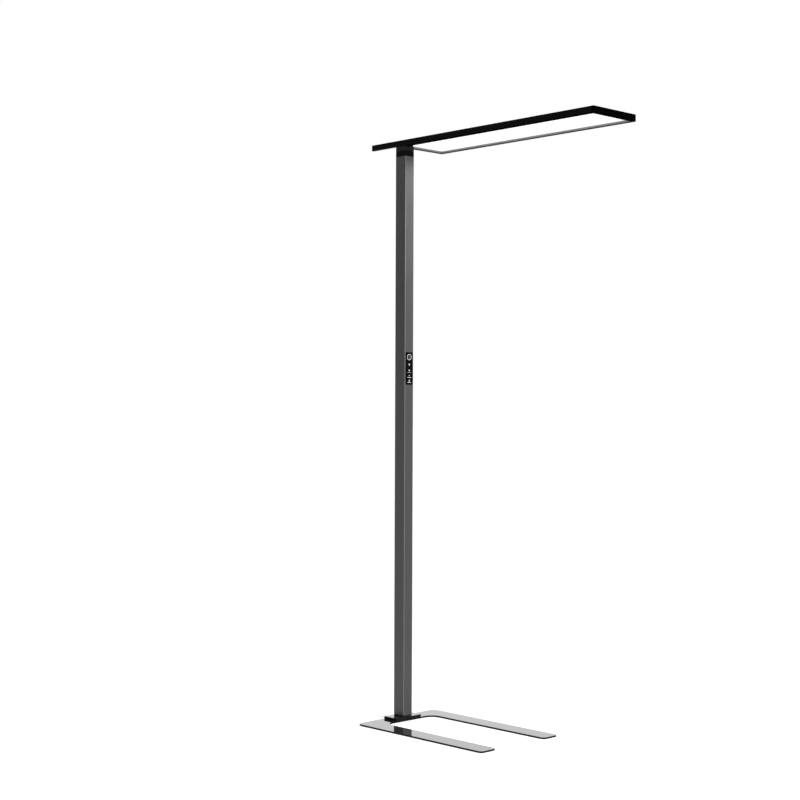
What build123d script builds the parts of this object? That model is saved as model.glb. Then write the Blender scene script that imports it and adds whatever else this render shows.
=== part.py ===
"""Free-standing piano lamp: U-shaped floor plate, rectangular pole and a
swivelling flat light head.  Millimetres, +Z up.

The origin is the point on the floor under the axis of the pole.  +X runs from
the pole along the light head and along the two prongs of the base, +Y runs
away from the player, so the long front side of the head and the front side of
the pole share one plane at Y = -21.
"""
from build123d import *
from math import cos, radians, sin
import os

os.makedirs("parts", exist_ok=True)

# ------------------------------------------------------------ dimensions ----
# floor plate
PAD_T = 1.0                        # anti-slip sheet under the plate
PLATE_T = 5.0                      # steel plate
BASE_X0, BASE_X1 = -34.0, 572.5
BASE_HALF = 192.5                  # half of the overall width
PRONG_W, CROSS_W = 75.0, 66.5
R_LEFT, R_END, R_INNER = 22.0, 15.0, 38.0
PAD_INSET = 3.0
Z_PLATE = PAD_T + PLATE_T          # 6

# foot of the pole
FOOT_X0, FOOT_X1, FOOT_Y, FOOT_H = BASE_X0, 32.0, 122.0, 9.0
Z_FOOT = Z_PLATE + FOOT_H          # 15
GASKET_H = 5.0
Z_POLE0 = Z_FOOT + GASKET_H        # 20
FOOT_PITCH = (44.0, 96.0)          # four screws, plate to foot block
POLE_PITCH = 24.0                  # two screws, foot block to pole

# pole
POLE_X, POLE_Y, POLE_WALL, POLE_R = 52.0, 42.0, 2.0, 1.5
Z_POLE1 = 2041.5
PLUG_X, PLUG_Y = 47.9, 37.9        # plugs inside the tube
LOW_PLUG_Z1, TOP_PLUG_Z0 = 55.0, 1999.0
WALL_SCREWS = [(y, z) for z in (40.0, 2024.0) for y in (-10.0, 10.0)]
INLET_Z = 78.0
FACE_X = POLE_X / 2                # 26, the side that carries the control strip
WIRE_X = -17.0
DRV_Z0, DRV_Z1 = 130.0, 290.0
SPLICE_Z = 1140.0
CLIP_Z = (420.0, 720.0, SPLICE_Z, 1440.0, 1720.0)

# control strip
STRIP_Y, STRIP_Z0, STRIP_Z1, STRIP_T = 36.0, 1213.8, 1331.2, 1.0
BOX_Y, BOX_Z0, BOX_Z1 = 30.0, 1217.2, 1327.8
CAV_X0, CAV_X1, CAV_Y = FACE_X - 14.0, FACE_X - 1.6, 27.6
WIN_Y, KEY_GAP = 25.4, 0.3
WINDOWS = {                        # clear openings of the five keys, z0 and z1
    "power": (1299.5, 1325.5),
    "light": (1277.5, 1297.3),
    "tone": (1255.9, 1275.3),
    "more": (1234.7, 1253.7),
    "less": (1218.9, 1232.5),
}
KEY_MID = {name: (z0 + z1) / 2 for name, (z0, z1) in WINDOWS.items()}
RIBS = (1298.4, 1276.4, 1254.8, 1233.6)
KEY_FRONT = FACE_X + 0.9           # 0.1 behind the face of the strip
KEY_FLANGE0, KEY_FLANGE1, KEY_STEM0 = FACE_X - 3.6, FACE_X - 1.8, FACE_X - 7.8
BOARD_X0, BOARD_X1 = FACE_X - 12.8, FACE_X - 11.2      # circuit board

# swivel
COLLAR_H = 19.0
Z_COLLAR = Z_POLE1 + COLLAR_H      # 2060.5
SLIP_H = 0.8
Z_NECK0 = Z_COLLAR + SLIP_H + 0.1  # 2061.4
SHAFT_R, SHAFT_BORE, RUN_CL = 8.0, 4.5, 0.05
FLANGE_R, Z_FLANGE0, Z_FLANGE1 = 15.0, 2065.4, 2067.9
Z_SHAFT0 = 1984.0
PIN_RAD, PIN_R, STOP_DEG = 14.5, 2.0, 90.0
NECK_PITCH = (43.0, 33.0)
COLLAR_PITCH = (38.0, 28.0)
LID_H = 4.0

# light head
Z_HEAD0, Z_HEAD1 = 2079.0, 2100.0
Z_LID0 = Z_HEAD0 - LID_H           # 2075
HEAD_XT, HEAD_X0, HEAD_X1 = -155.0, -8.0, 895.0
HEAD_Y0, HEAD_Y1 = -21.0, 198.0
RAIL_W, RAIL_WALL = 10.0, 1.5      # hollow side rails
LIP_W, LIP_T = 2.0, 4.0            # lip that carries the diffuser
BEZEL_T = 3.0                      # frame under the rails, not under the tail
Z_BEZEL0 = Z_HEAD0 - BEZEL_T       # 2076
LEDGE_W, LEDGE_T = 6.0, 2.0        # ledge under the top cover
COVER_T, DIFF_T, CAP_T, CORNER_T = 1.5, 2.0, 2.0, 6.0
YN, YF = HEAD_Y0 + RAIL_W, HEAD_Y1 - RAIL_W      # -11, 188 inner faces of the rails
XL, XR = HEAD_X0 + RAIL_W, HEAD_X1 - RAIL_W      # 2, 885 inner faces of the ends
HEAD_H = Z_HEAD1 - Z_HEAD0
HOLLOW_Y, HOLLOW_Z = RAIL_W - 2 * RAIL_WALL, HEAD_H - 2 * RAIL_WALL   # 7, 18
Z_MID = (Z_HEAD0 + Z_HEAD1) / 2                  # 2089.5
Y_NEAR, Y_FAR = HEAD_Y0 + RAIL_W / 2, HEAD_Y1 - RAIL_W / 2            # -16, 193
Z_DIFF = Z_HEAD0 + LIP_T           # 2083
Z_COVER = Z_HEAD1 - COVER_T        # 2098.5
LED_Y = (40.0, 138.0)
LED_X0, LED_X1, LED_W, LED_T = 30.0, 865.0, 14.0, 1.6
CHIP_T = 0.9
TRAY_Z0, TRAY_Z1, TRAY_T = 2085.1, 2096.4, 0.8
BRACKET_Z0, BRACKET_Z1 = 2085.2, 2092.0
MOUNT_X, MOUNT_Y, MOUNT_FIX = 27.0, 16.0, (46.0, 55.0)   # mounting pad over the neck, its screws into the front rail

LOW = (Align.CENTER, Align.CENTER, Align.MIN)
HIGH = (Align.CENTER, Align.CENTER, Align.MAX)


def block(x0, x1, y0, y1, z0, z1, mode=Mode.ADD):
    """box between two corners, in the part that is being built"""
    with Locations(((x0 + x1) / 2, (y0 + y1) / 2, (z0 + z1) / 2)):
        Box(x1 - x0, y1 - y0, z1 - z0, mode=mode)


def at_corners(vertices, x, y):
    """vertices of a sketch at (x, y) and (x, -y)"""
    return [v for v in vertices if abs(v.X - x) < 0.05 and abs(abs(v.Y) - y) < 0.05]


# ------------------------------------------------------------------ base ----
with BuildPart() as floor_pad:
    with BuildSketch() as pad_sk:
        with BuildLine():
            i = PAD_INSET
            Polyline((BASE_X0 + i, -BASE_HALF + i), (BASE_X1 - i, -BASE_HALF + i),
                     (BASE_X1 - i, PRONG_W - BASE_HALF - i), (BASE_X0 + CROSS_W - i, PRONG_W - BASE_HALF - i),
                     (BASE_X0 + CROSS_W - i, BASE_HALF - PRONG_W + i), (BASE_X1 - i, BASE_HALF - PRONG_W + i),
                     (BASE_X1 - i, BASE_HALF - i), (BASE_X0 + i, BASE_HALF - i), close=True)
        make_face()
        fillet(at_corners(pad_sk.vertices(), BASE_X0 + i, BASE_HALF - i), R_LEFT - i)
        fillet(at_corners(pad_sk.vertices(), BASE_X1 - i, BASE_HALF - i)
               + at_corners(pad_sk.vertices(), BASE_X1 - i, BASE_HALF - PRONG_W + i), R_END - i)
        fillet(at_corners(pad_sk.vertices(), BASE_X0 + CROSS_W - i, BASE_HALF - PRONG_W + i), R_INNER + i)
    extrude(amount=PAD_T)

with BuildPart() as base_plate:
    with BuildSketch(Plane.XY.offset(PAD_T)) as plate_sk:
        with BuildLine():
            Polyline((BASE_X0, -BASE_HALF), (BASE_X1, -BASE_HALF),
                     (BASE_X1, PRONG_W - BASE_HALF), (BASE_X0 + CROSS_W, PRONG_W - BASE_HALF),
                     (BASE_X0 + CROSS_W, BASE_HALF - PRONG_W), (BASE_X1, BASE_HALF - PRONG_W),
                     (BASE_X1, BASE_HALF), (BASE_X0, BASE_HALF), close=True)
        make_face()
        fillet(at_corners(plate_sk.vertices(), BASE_X0, BASE_HALF), R_LEFT)
        fillet(at_corners(plate_sk.vertices(), BASE_X1, BASE_HALF)
               + at_corners(plate_sk.vertices(), BASE_X1, BASE_HALF - PRONG_W), R_END)
        fillet(at_corners(plate_sk.vertices(), BASE_X0 + CROSS_W, BASE_HALF - PRONG_W), R_INNER)
    extrude(amount=PLATE_T)
    chamfer(base_plate.faces().sort_by(Axis.Z)[-1].edges(), 0.5)
    # countersunk from below for the foot screws
    with Locations(Plane(origin=(0, 0, PAD_T), x_dir=(1, 0, 0), z_dir=(0, 0, -1))):
        with GridLocations(*FOOT_PITCH, 2, 2):
            CounterSinkHole(radius=3.2, counter_sink_radius=6.5, depth=PLATE_T)

with BuildPart() as foot_screws:
    with Locations((0, 0, PAD_T + 0.1)):
        with GridLocations(*FOOT_PITCH, 2, 2):
            Cone(6.2, 2.9, 3.3, align=LOW)
            Cylinder(2.9, 11.6, align=LOW)
    with BuildSketch(Plane.XY.offset(PAD_T + 0.1)):
        with GridLocations(*FOOT_PITCH, 2, 2):
            RegularPolygon(2.3, 6)
    extrude(amount=2.2, mode=Mode.SUBTRACT)

with BuildPart() as foot_block:
    block(FOOT_X0, FOOT_X1, -FOOT_Y / 2, FOOT_Y / 2, Z_PLATE, Z_FOOT)
    chamfer(foot_block.edges().filter_by(Axis.Z), 0.8)
    chamfer(foot_block.faces().sort_by(Axis.Z)[-1].edges(), 0.5)
    with Locations((0, 0, Z_PLATE)):
        with GridLocations(*FOOT_PITCH, 2, 2):
            Cylinder(3.0, 8.0, align=LOW, mode=Mode.SUBTRACT)
        with GridLocations(POLE_PITCH, 1, 2, 1):
            Cylinder(7.1, 5.0, align=LOW, mode=Mode.SUBTRACT)
            Cylinder(4.2, FOOT_H, align=LOW, mode=Mode.SUBTRACT)

with BuildPart() as pole_screws:
    with Locations((0, 0, Z_PLATE + 0.5)):
        with GridLocations(POLE_PITCH, 1, 2, 1):
            Cylinder(6.5, 4.5, align=LOW)
            Cylinder(3.9, 33.5, align=LOW)
    with BuildSketch(Plane.XY.offset(Z_PLATE + 0.5)):
        with GridLocations(POLE_PITCH, 1, 2, 1):
            RegularPolygon(3.2, 6)
    extrude(amount=2.8, mode=Mode.SUBTRACT)

with BuildPart() as foot_gasket:
    with BuildSketch(Plane.XY.offset(Z_FOOT)):
        RectangleRounded(POLE_X - 0.8, POLE_Y - 0.8, POLE_R)
        RectangleRounded(PLUG_X + 0.2, PLUG_Y + 0.2, 1.2, mode=Mode.SUBTRACT)
    extrude(amount=GASKET_H)

# ------------------------------------------------------------------ pole ----
with BuildPart() as pole_plug_low:
    with BuildSketch(Plane.XY.offset(Z_FOOT)):
        RectangleRounded(PLUG_X, PLUG_Y, 1.2)
    extrude(amount=LOW_PLUG_Z1 - Z_FOOT)
    with Locations((0, 0, Z_FOOT)):
        with GridLocations(POLE_PITCH, 1, 2, 1):
            Cylinder(4.0, 28.0, align=LOW, mode=Mode.SUBTRACT)
    with Locations(*[Location((-PLUG_X / 2, y, z), (0, 90, 0)) for y, z in WALL_SCREWS[:2]]):
        Cylinder(2.0, 8.0, align=LOW, mode=Mode.SUBTRACT)

with BuildPart() as pole:
    with BuildSketch(Plane.XY.offset(Z_POLE0)):
        RectangleRounded(POLE_X, POLE_Y, POLE_R)
        RectangleRounded(POLE_X - 2 * POLE_WALL, POLE_Y - 2 * POLE_WALL, 1.0, mode=Mode.SUBTRACT)
    extrude(amount=Z_POLE1 - Z_POLE0)
    # window of the control strip
    block(FACE_X - POLE_WALL - 1, FACE_X + 1, -BOX_Y / 2 - 0.2, BOX_Y / 2 + 0.2,
          BOX_Z0 - 0.2, BOX_Z1 + 0.2, mode=Mode.SUBTRACT)
    # inlet hole and screw holes in the back
    with Locations(Location((-FACE_X - 1, 0, INLET_Z), (0, 90, 0))):
        Cylinder(6.1, POLE_WALL + 2, align=LOW, mode=Mode.SUBTRACT)
    with Locations(*[Location((-FACE_X - 1, y, z), (0, 90, 0)) for y, z in WALL_SCREWS]):
        Cylinder(2.2, POLE_WALL + 2, align=LOW, mode=Mode.SUBTRACT)

with BuildPart() as pole_plug_top:
    with BuildSketch(Plane.XY.offset(TOP_PLUG_Z0)):
        RectangleRounded(PLUG_X, PLUG_Y, 1.2)
        Circle(SHAFT_R + RUN_CL, mode=Mode.SUBTRACT)
    extrude(amount=Z_POLE1 - TOP_PLUG_Z0)
    with Locations((0, 0, Z_POLE1)):
        with GridLocations(*COLLAR_PITCH, 2, 2):
            Cylinder(1.75, 14.0, align=HIGH, mode=Mode.SUBTRACT)
    with Locations(*[Location((-PLUG_X / 2, y, z), (0, 90, 0)) for y, z in WALL_SCREWS[2:]]):
        Cylinder(2.0, 8.0, align=LOW, mode=Mode.SUBTRACT)

# button-head screws through the back wall into the two plugs
with BuildPart() as wall_screws:
    with Locations(*[Location((-FACE_X, y, z), (0, 90, 0)) for y, z in WALL_SCREWS]):
        Cylinder(1.95, 9.5, align=LOW)
    with Locations(*[Location((-FACE_X, y, z), (0, -90, 0)) for y, z in WALL_SCREWS]):
        Cone(3.8, 2.4, 2.0, align=LOW)
    with BuildSketch(Plane(origin=(-FACE_X - 2.0, 0, 0), x_dir=(0, 1, 0), z_dir=(1, 0, 0))):
        with Locations(*WALL_SCREWS):
            RegularPolygon(1.45, 6)
    extrude(amount=1.4, mode=Mode.SUBTRACT)

# low-voltage inlet in the back of the pole
with BuildPart() as power_inlet:
    with Locations(Location((-FACE_X, 0, INLET_Z), (0, 90, 0))):
        Cylinder(8.0, 1.6, align=HIGH)
        Cylinder(5.95, 15.0, align=LOW)
    chamfer(power_inlet.faces().sort_by(Axis.X)[0].edges(), 0.5)
    with Locations(Location((-FACE_X - 1.6, 0, INLET_Z), (0, 90, 0))):
        Cylinder(2.8, 11.0, align=LOW, mode=Mode.SUBTRACT)

with BuildPart() as inlet_pin:
    with Locations(Location((-FACE_X + 9.4, 0, INLET_Z), (0, 90, 0))):
        Cylinder(1.0, 9.4, align=HIGH)
    chamfer(inlet_pin.faces().sort_by(Axis.X)[0].edges(), 0.3)

with BuildPart() as inlet_nut:
    with BuildSketch(Plane(origin=(-FACE_X + POLE_WALL, 0, INLET_Z), x_dir=(0, 1, 0), z_dir=(1, 0, 0))):
        RegularPolygon(9.0, 6)
        Circle(6.0, mode=Mode.SUBTRACT)
    extrude(amount=3.0)

# driver and wiring inside the pole
with BuildPart() as led_driver:
    block(-FACE_X + POLE_WALL, -1.0, -14.0, 14.0, DRV_Z0, DRV_Z1)
    chamfer(led_driver.edges().filter_by(Axis.Z).group_by(Axis.X)[-1], 1.5)

with BuildPart() as inlet_wire:
    with BuildLine() as inlet_route:
        FilletPolyline((15 - FACE_X, 0, INLET_Z), (2, 0, INLET_Z), (2, 0, 102), (-12, 0, 116),
                       (-12, 0, DRV_Z0), radius=[9.0, 14.0, 14.0])
    with BuildSketch(Plane(origin=(15 - FACE_X, 0, INLET_Z), x_dir=(0, 1, 0), z_dir=(1, 0, 0))):
        Circle(1.5)
    sweep(path=inlet_route.wire())

with BuildPart() as riser_wire:
    with BuildLine() as riser_route:
        FilletPolyline((-12, 0, DRV_Z1), (-12, 0, 306), (WIRE_X, 0, 322), (WIRE_X, 0, 1930),
                       (0, 0, 1962), (0, 0, 2064), radius=[36.0, 36.0, 45.0, 45.0])
    with BuildSketch(Plane(origin=(-12, 0, DRV_Z1), x_dir=(1, 0, 0), z_dir=(0, 0, 1))):
        Circle(1.5)
    sweep(path=riser_route.wire())

with BuildPart() as panel_wire:
    with BuildLine() as panel_route:
        FilletPolyline((-14, 0, SPLICE_Z), (-3, 0, SPLICE_Z), (-3, 0, 1240), (BOARD_X0 - 3.7, 0, 1240),
                       radius=[9.0, 9.0])
    with BuildSketch(Plane(origin=(-14, 0, SPLICE_Z), x_dir=(0, 1, 0), z_dir=(1, 0, 0))):
        Circle(1.2)
    sweep(path=panel_route.wire())

with BuildPart() as wire_clips:
    with Locations(*[(-FACE_X + POLE_WALL, 0, z) for z in CLIP_Z]):
        Box(10.0, 10.0, 12.0, align=(Align.MIN, Align.CENTER, Align.CENTER))
    with Locations(*[(WIRE_X, 0, z) for z in CLIP_Z]):
        Cylinder(1.55, 14.0, mode=Mode.SUBTRACT)

# --------------------------------------------------------- control strip ----
with BuildPart() as strip_housing:
    with BuildSketch(Plane(origin=(FACE_X, 0, (STRIP_Z0 + STRIP_Z1) / 2), x_dir=(0, 1, 0), z_dir=(1, 0, 0))):
        RectangleRounded(STRIP_Y, STRIP_Z1 - STRIP_Z0, 2.0)
    extrude(amount=STRIP_T)
    chamfer(strip_housing.faces().sort_by(Axis.X)[-1].edges(), 0.3)
    block(CAV_X0, FACE_X, -BOX_Y / 2, BOX_Y / 2, BOX_Z0, BOX_Z1)
    block(CAV_X0, CAV_X1, -CAV_Y / 2, CAV_Y / 2, BOX_Z0 + 1.2, BOX_Z1 - 1.2, mode=Mode.SUBTRACT)
    # ribs between the keys, which the circuit board rests on
    for rib in RIBS:
        block(BOARD_X1, CAV_X1, -CAV_Y / 2, CAV_Y / 2, rib - 0.7, rib + 0.7)
    # snap lips behind the board and snap lugs behind the wall of the pole
    for side in (-1, 1):
        with Locations((CAV_X0 + 0.6, side * (CAV_Y / 2 - 0.4), 1272.5)):
            Box(1.2, 0.8, 60.0)
    block(FACE_X - 3.6, FACE_X - 2.1, -5.0, 5.0, BOX_Z1, BOX_Z1 + 1.0)
    block(FACE_X - 3.6, FACE_X - 2.1, -5.0, 5.0, BOX_Z0 - 1.0, BOX_Z0)
    for z0, z1 in WINDOWS.values():
        block(CAV_X1 - 0.5, FACE_X + 2.0, -WIN_Y / 2, WIN_Y / 2, z0, z1, mode=Mode.SUBTRACT)

with BuildPart() as control_board:
    block(BOARD_X0, BOARD_X1, -13.5, 13.5, 1218.7, 1326.3)
    block(BOARD_X0 - 3.7, BOARD_X0, -5.0, 5.0, 1237.0, 1243.0)

with BuildPart() as key_switches:
    with Locations(*[(BOARD_X1, 0, z) for z in KEY_MID.values()]):
        Box(5.0, 6.0, 6.0, align=(Align.MIN, Align.CENTER, Align.CENTER))
    with Locations(*[Location((BOARD_X1 + 1.7, 0, z), (0, 90, 0)) for z in KEY_MID.values()]):
        Cylinder(2.2, 4.0, align=LOW, mode=Mode.SUBTRACT)


def key_cap(key, z0, z1):
    """key with retaining flange and stem, in the part that is being built"""
    half, zm = WIN_Y / 2 - KEY_GAP, (z0 + z1) / 2
    block(KEY_FLANGE1 - 0.2, KEY_FRONT, -half, half, z0 + KEY_GAP, z1 - KEY_GAP)
    fillet(key.edges().filter_by(Axis.X), 0.8)
    chamfer(key.faces().sort_by(Axis.X)[-1].edges(), 0.25)
    block(KEY_FLANGE0, KEY_FLANGE1, -13.5, 13.5, z0 + KEY_GAP, z1 - KEY_GAP)
    with Locations(Location((KEY_STEM0, 0, zm), (0, 90, 0))):
        Cylinder(1.8, KEY_FLANGE0 - KEY_STEM0, align=LOW)


with BuildPart() as power_key:
    key_cap(power_key, *WINDOWS["power"])

with BuildPart() as light_key:
    key_cap(light_key, *WINDOWS["light"])

with BuildPart() as tone_key:
    key_cap(tone_key, *WINDOWS["tone"])

with BuildPart() as more_key:
    key_cap(more_key, *WINDOWS["more"])

with BuildPart() as less_key:
    key_cap(less_key, *WINDOWS["less"])

# ---------------------------------------------------------------- swivel ----
GROOVE_A0 = radians(-STOP_DEG - 8.5)
with BuildPart() as swivel_collar:
    with BuildSketch(Plane.XY.offset(Z_POLE1)):
        RectangleRounded(POLE_X, POLE_Y, POLE_R)
        Circle(SHAFT_R + 0.35, mode=Mode.SUBTRACT)
    extrude(amount=COLLAR_H)
    # arc groove in which the stop pin travels
    with BuildSketch(Plane(origin=(0, 0, 0), x_dir=(cos(GROOVE_A0), sin(GROOVE_A0), 0),
                           z_dir=(sin(GROOVE_A0), -cos(GROOVE_A0), 0))):
        with Locations((PIN_RAD, Z_COLLAR)):
            Rectangle(2 * PIN_R + 0.7, 11.0)
    revolve(axis=Axis.Z, revolution_arc=2 * STOP_DEG + 17.0, mode=Mode.SUBTRACT)
    with Locations((0, 0, Z_COLLAR)):
        with GridLocations(*COLLAR_PITCH, 2, 2):
            CounterSinkHole(radius=2.0, counter_sink_radius=4.0, depth=COLLAR_H)

with BuildPart() as collar_screws:
    with Locations((0, 0, Z_COLLAR - 0.1)):
        with GridLocations(*COLLAR_PITCH, 2, 2):
            Cylinder(1.7, 28.0, align=HIGH)
    with Locations((0, 0, Z_COLLAR - 2.2)):
        with GridLocations(*COLLAR_PITCH, 2, 2):
            Cone(1.6, 3.7, 2.1, align=LOW)
    with BuildSketch(Plane.XY.offset(Z_COLLAR - 0.1)):
        with GridLocations(*COLLAR_PITCH, 2, 2):
            RegularPolygon(1.3, 6)
    extrude(amount=-1.6, mode=Mode.SUBTRACT)

with BuildPart() as slip_washer:
    with BuildSketch(Plane.XY.offset(Z_COLLAR)):
        Circle(11.5)
        Circle(8.3, mode=Mode.SUBTRACT)
    extrude(amount=SLIP_H)

with BuildPart() as neck_block:
    with BuildSketch(Plane.XY.offset(Z_NECK0)):
        RectangleRounded(POLE_X, POLE_Y, POLE_R)
    extrude(amount=Z_LID0 - Z_NECK0)
    with Locations((0, 0, Z_FLANGE0)):
        Cylinder(FLANGE_R + 0.1, 20.0, align=LOW, mode=Mode.SUBTRACT)
    with Locations((0, 0, Z_NECK0)):
        Cylinder(SHAFT_R + 0.05, 10.0, align=LOW, mode=Mode.SUBTRACT)
        with GridLocations(*NECK_PITCH, 2, 2):
            Cylinder(3.2, 3.4, align=LOW, mode=Mode.SUBTRACT)
            Cylinder(1.7, 30.0, align=LOW, mode=Mode.SUBTRACT)
    with Locations((PIN_RAD, 0, Z_NECK0)):
        Cylinder(PIN_R, 10.0, align=LOW, mode=Mode.SUBTRACT)
    with Locations((0, 0, Z_NECK0)):
        with PolarLocations(11.4, 3, start_angle=60):
            Cylinder(1.5, 10.0, align=LOW, mode=Mode.SUBTRACT)

with BuildPart() as neck_screws:
    with Locations((0, 0, Z_NECK0 + 0.3)):
        with GridLocations(*NECK_PITCH, 2, 2):
            Cylinder(2.9, 3.1, align=LOW)
            Cylinder(1.4, 16.2, align=LOW)
    with BuildSketch(Plane.XY.offset(Z_NECK0 + 0.3)):
        with GridLocations(*NECK_PITCH, 2, 2):
            RegularPolygon(1.5, 6)
    extrude(amount=1.8, mode=Mode.SUBTRACT)

RAIL_SCREWS = [(-8.0, Y_NEAR), (8.0, Y_NEAR)]
PAD_SCREWS = [(19.0, 4.0), (15.0, 13.0)]
WIRE_HOLE = (12.5, 0.0)
with BuildPart() as neck_lid:
    with BuildSketch(Plane.XY.offset(Z_LID0)):
        RectangleRounded(POLE_X, POLE_Y, POLE_R)
    extrude(amount=LID_H)
    fillet(neck_lid.faces().sort_by(Axis.Z)[-1].edges(), 3.5)
    with Locations((0, 0, Z_LID0)):
        with GridLocations(*NECK_PITCH, 2, 2):
            Cylinder(1.45, 3.2, align=LOW, mode=Mode.SUBTRACT)
    with Locations((*WIRE_HOLE, Z_LID0)):
        Cylinder(1.6, 10.0, align=LOW, mode=Mode.SUBTRACT)
    with Locations(Plane(origin=(0, 0, Z_LID0), x_dir=(1, 0, 0), z_dir=(0, 0, -1))):
        with Locations(*[(x, -y) for x, y in RAIL_SCREWS + PAD_SCREWS]):
            CounterSinkHole(radius=2.15, counter_sink_radius=4.0, depth=LID_H)

with BuildPart() as head_screws:
    with Locations(*[(x, y, Z_LID0 + 0.1) for x, y in RAIL_SCREWS + PAD_SCREWS]):
        Cone(3.75, 1.9, 1.9, align=LOW)
        Cylinder(1.9, 13.0, align=LOW)
    with BuildSketch(Plane.XY.offset(Z_LID0 + 0.1)):
        with Locations(*(RAIL_SCREWS + PAD_SCREWS)):
            RegularPolygon(1.4, 6)
    extrude(amount=1.6, mode=Mode.SUBTRACT)

with BuildPart() as swivel_shaft:
    with Locations((0, 0, Z_SHAFT0)):
        Cylinder(SHAFT_R, Z_FLANGE0 - Z_SHAFT0, align=LOW)
    with Locations((0, 0, Z_FLANGE0)):
        Cylinder(FLANGE_R, Z_FLANGE1 - Z_FLANGE0, align=LOW)
    chamfer(swivel_shaft.faces().sort_by(Axis.Z)[0].edges(), 0.8)
    with Locations((0, 0, Z_SHAFT0 - 1)):
        Cylinder(SHAFT_BORE, 100.0, align=LOW, mode=Mode.SUBTRACT)
    with Locations((0, 0, Z_FLANGE1)):
        with PolarLocations(11.4, 3, start_angle=60):
            CounterSinkHole(radius=1.6, counter_sink_radius=3.0, depth=5.0)

with BuildPart() as flange_screws:
    with Locations((0, 0, Z_FLANGE1 - 0.1)):
        with PolarLocations(11.4, 3, start_angle=60):
            Cylinder(1.4, 5.6, align=HIGH)
    with Locations((0, 0, Z_FLANGE1 - 1.4)):
        with PolarLocations(11.4, 3, start_angle=60):
            Cone(1.4, 2.7, 1.3, align=LOW)
    with BuildSketch(Plane.XY.offset(Z_FLANGE1 - 0.1)):
        with PolarLocations(11.4, 3, start_angle=60):
            RegularPolygon(1.0, 6)
    extrude(amount=-1.2, mode=Mode.SUBTRACT)

with BuildPart() as stop_pin:
    with Locations((PIN_RAD, 0, Z_COLLAR - 4.5)):
        Cylinder(PIN_R - 0.03, Z_FLANGE0 - Z_COLLAR + 4.5, align=LOW)
    chamfer(stop_pin.faces().sort_by(Axis.Z)[0].edges(), 0.4)

with BuildPart() as thrust_washer:
    with BuildSketch(Plane.XY.offset(1997.9)):
        Circle(14.0)
        Circle(SHAFT_R + 0.2, mode=Mode.SUBTRACT)
    extrude(amount=1.0)

# conical spring washer between the nut and the thrust washer
with BuildPart() as spring_washer:
    with BuildSketch(Plane.XZ):
        with BuildLine():
            Polyline((8.3, 1997.9), (8.3, 1997.0), (13.6, 1996.0), (13.6, 1996.9), close=True)
        make_face()
    revolve(axis=Axis.Z)

with BuildPart() as swivel_nut:
    with BuildSketch(Plane.XY.offset(1986.0)):
        RegularPolygon(13.6, 6)
        Circle(SHAFT_R + 0.03, mode=Mode.SUBTRACT)
    extrude(amount=10.0)

# ------------------------------------------------------------ light head ----
with BuildPart() as near_rail:
    with BuildSketch(Plane(origin=(HEAD_XT + CAP_T, Y_NEAR, Z_MID), x_dir=(0, 1, 0), z_dir=(1, 0, 0))):
        RectangleRounded(RAIL_W, HEAD_H, 0.6)
        Rectangle(HOLLOW_Y, HOLLOW_Z, mode=Mode.SUBTRACT)
    extrude(amount=XR - HEAD_XT - CAP_T)
    block(XL + LIP_W, XR - LIP_W, YN - 0.7, YN + LIP_W, Z_HEAD0, Z_DIFF)
    block(XL + LIP_W, XR - LIP_W, YN - 0.7, YN + LEDGE_W, Z_COVER - LEDGE_T, Z_COVER)
    with Locations(*[(x, y, Z_HEAD0 - 1) for x, y in RAIL_SCREWS]):
        Cylinder(2.15, 4.0, align=LOW, mode=Mode.SUBTRACT)
    with Locations(*[Location((x, YN + 1, 2088.0), (90, 0, 0)) for x in (*MOUNT_FIX, 866.0)]):
        Cylinder(1.6, 3.5, align=LOW, mode=Mode.SUBTRACT)
    with Locations(*[(x, YN + 3.2, Z_COVER + 1) for x in (40, 240, 440, 640, 840)]):
        Cylinder(1.25, 4.0, align=HIGH, mode=Mode.SUBTRACT)

with BuildPart() as far_rail:
    with BuildSketch(Plane(origin=(HEAD_X0 + CORNER_T, Y_FAR, Z_MID), x_dir=(0, 1, 0), z_dir=(1, 0, 0))):
        RectangleRounded(RAIL_W, HEAD_H, 0.6)
        Rectangle(HOLLOW_Y, HOLLOW_Z, mode=Mode.SUBTRACT)
    extrude(amount=XR - HEAD_X0 - CORNER_T)
    block(XL + LIP_W, XR - LIP_W, YF - LIP_W, YF + 0.7, Z_HEAD0, Z_DIFF)
    block(XL + LIP_W, XR - LIP_W, YF - LEDGE_W, YF + 0.7, Z_COVER - LEDGE_T, Z_COVER)
    with Locations(*[Location((x, YF - 1, 2088.0), (-90, 0, 0)) for x in (20.0, 33.0, 866.0)]):
        Cylinder(1.6, 3.5, align=LOW, mode=Mode.SUBTRACT)
    with Locations(*[(x, YF - 3.2, Z_COVER + 1) for x in (40, 240, 440, 640, 840)]):
        Cylinder(1.25, 4.0, align=HIGH, mode=Mode.SUBTRACT)

with BuildPart() as left_end:
    block(HEAD_X0, XL, YN, YF, Z_HEAD0, Z_HEAD1)
    chamfer(left_end.edges().filter_by(Axis.Y).group_by(Axis.X)[0], 0.5)
    block(XL - 1, XL + LIP_W, YN, YF, Z_HEAD0, Z_DIFF)
    with Locations(*[Location((XL + 1, y, 2088.0), (0, -90, 0)) for y in (25.0, 155.0, 170.0)]):
        Cylinder(1.5, 9.0, align=LOW, mode=Mode.SUBTRACT)

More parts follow.
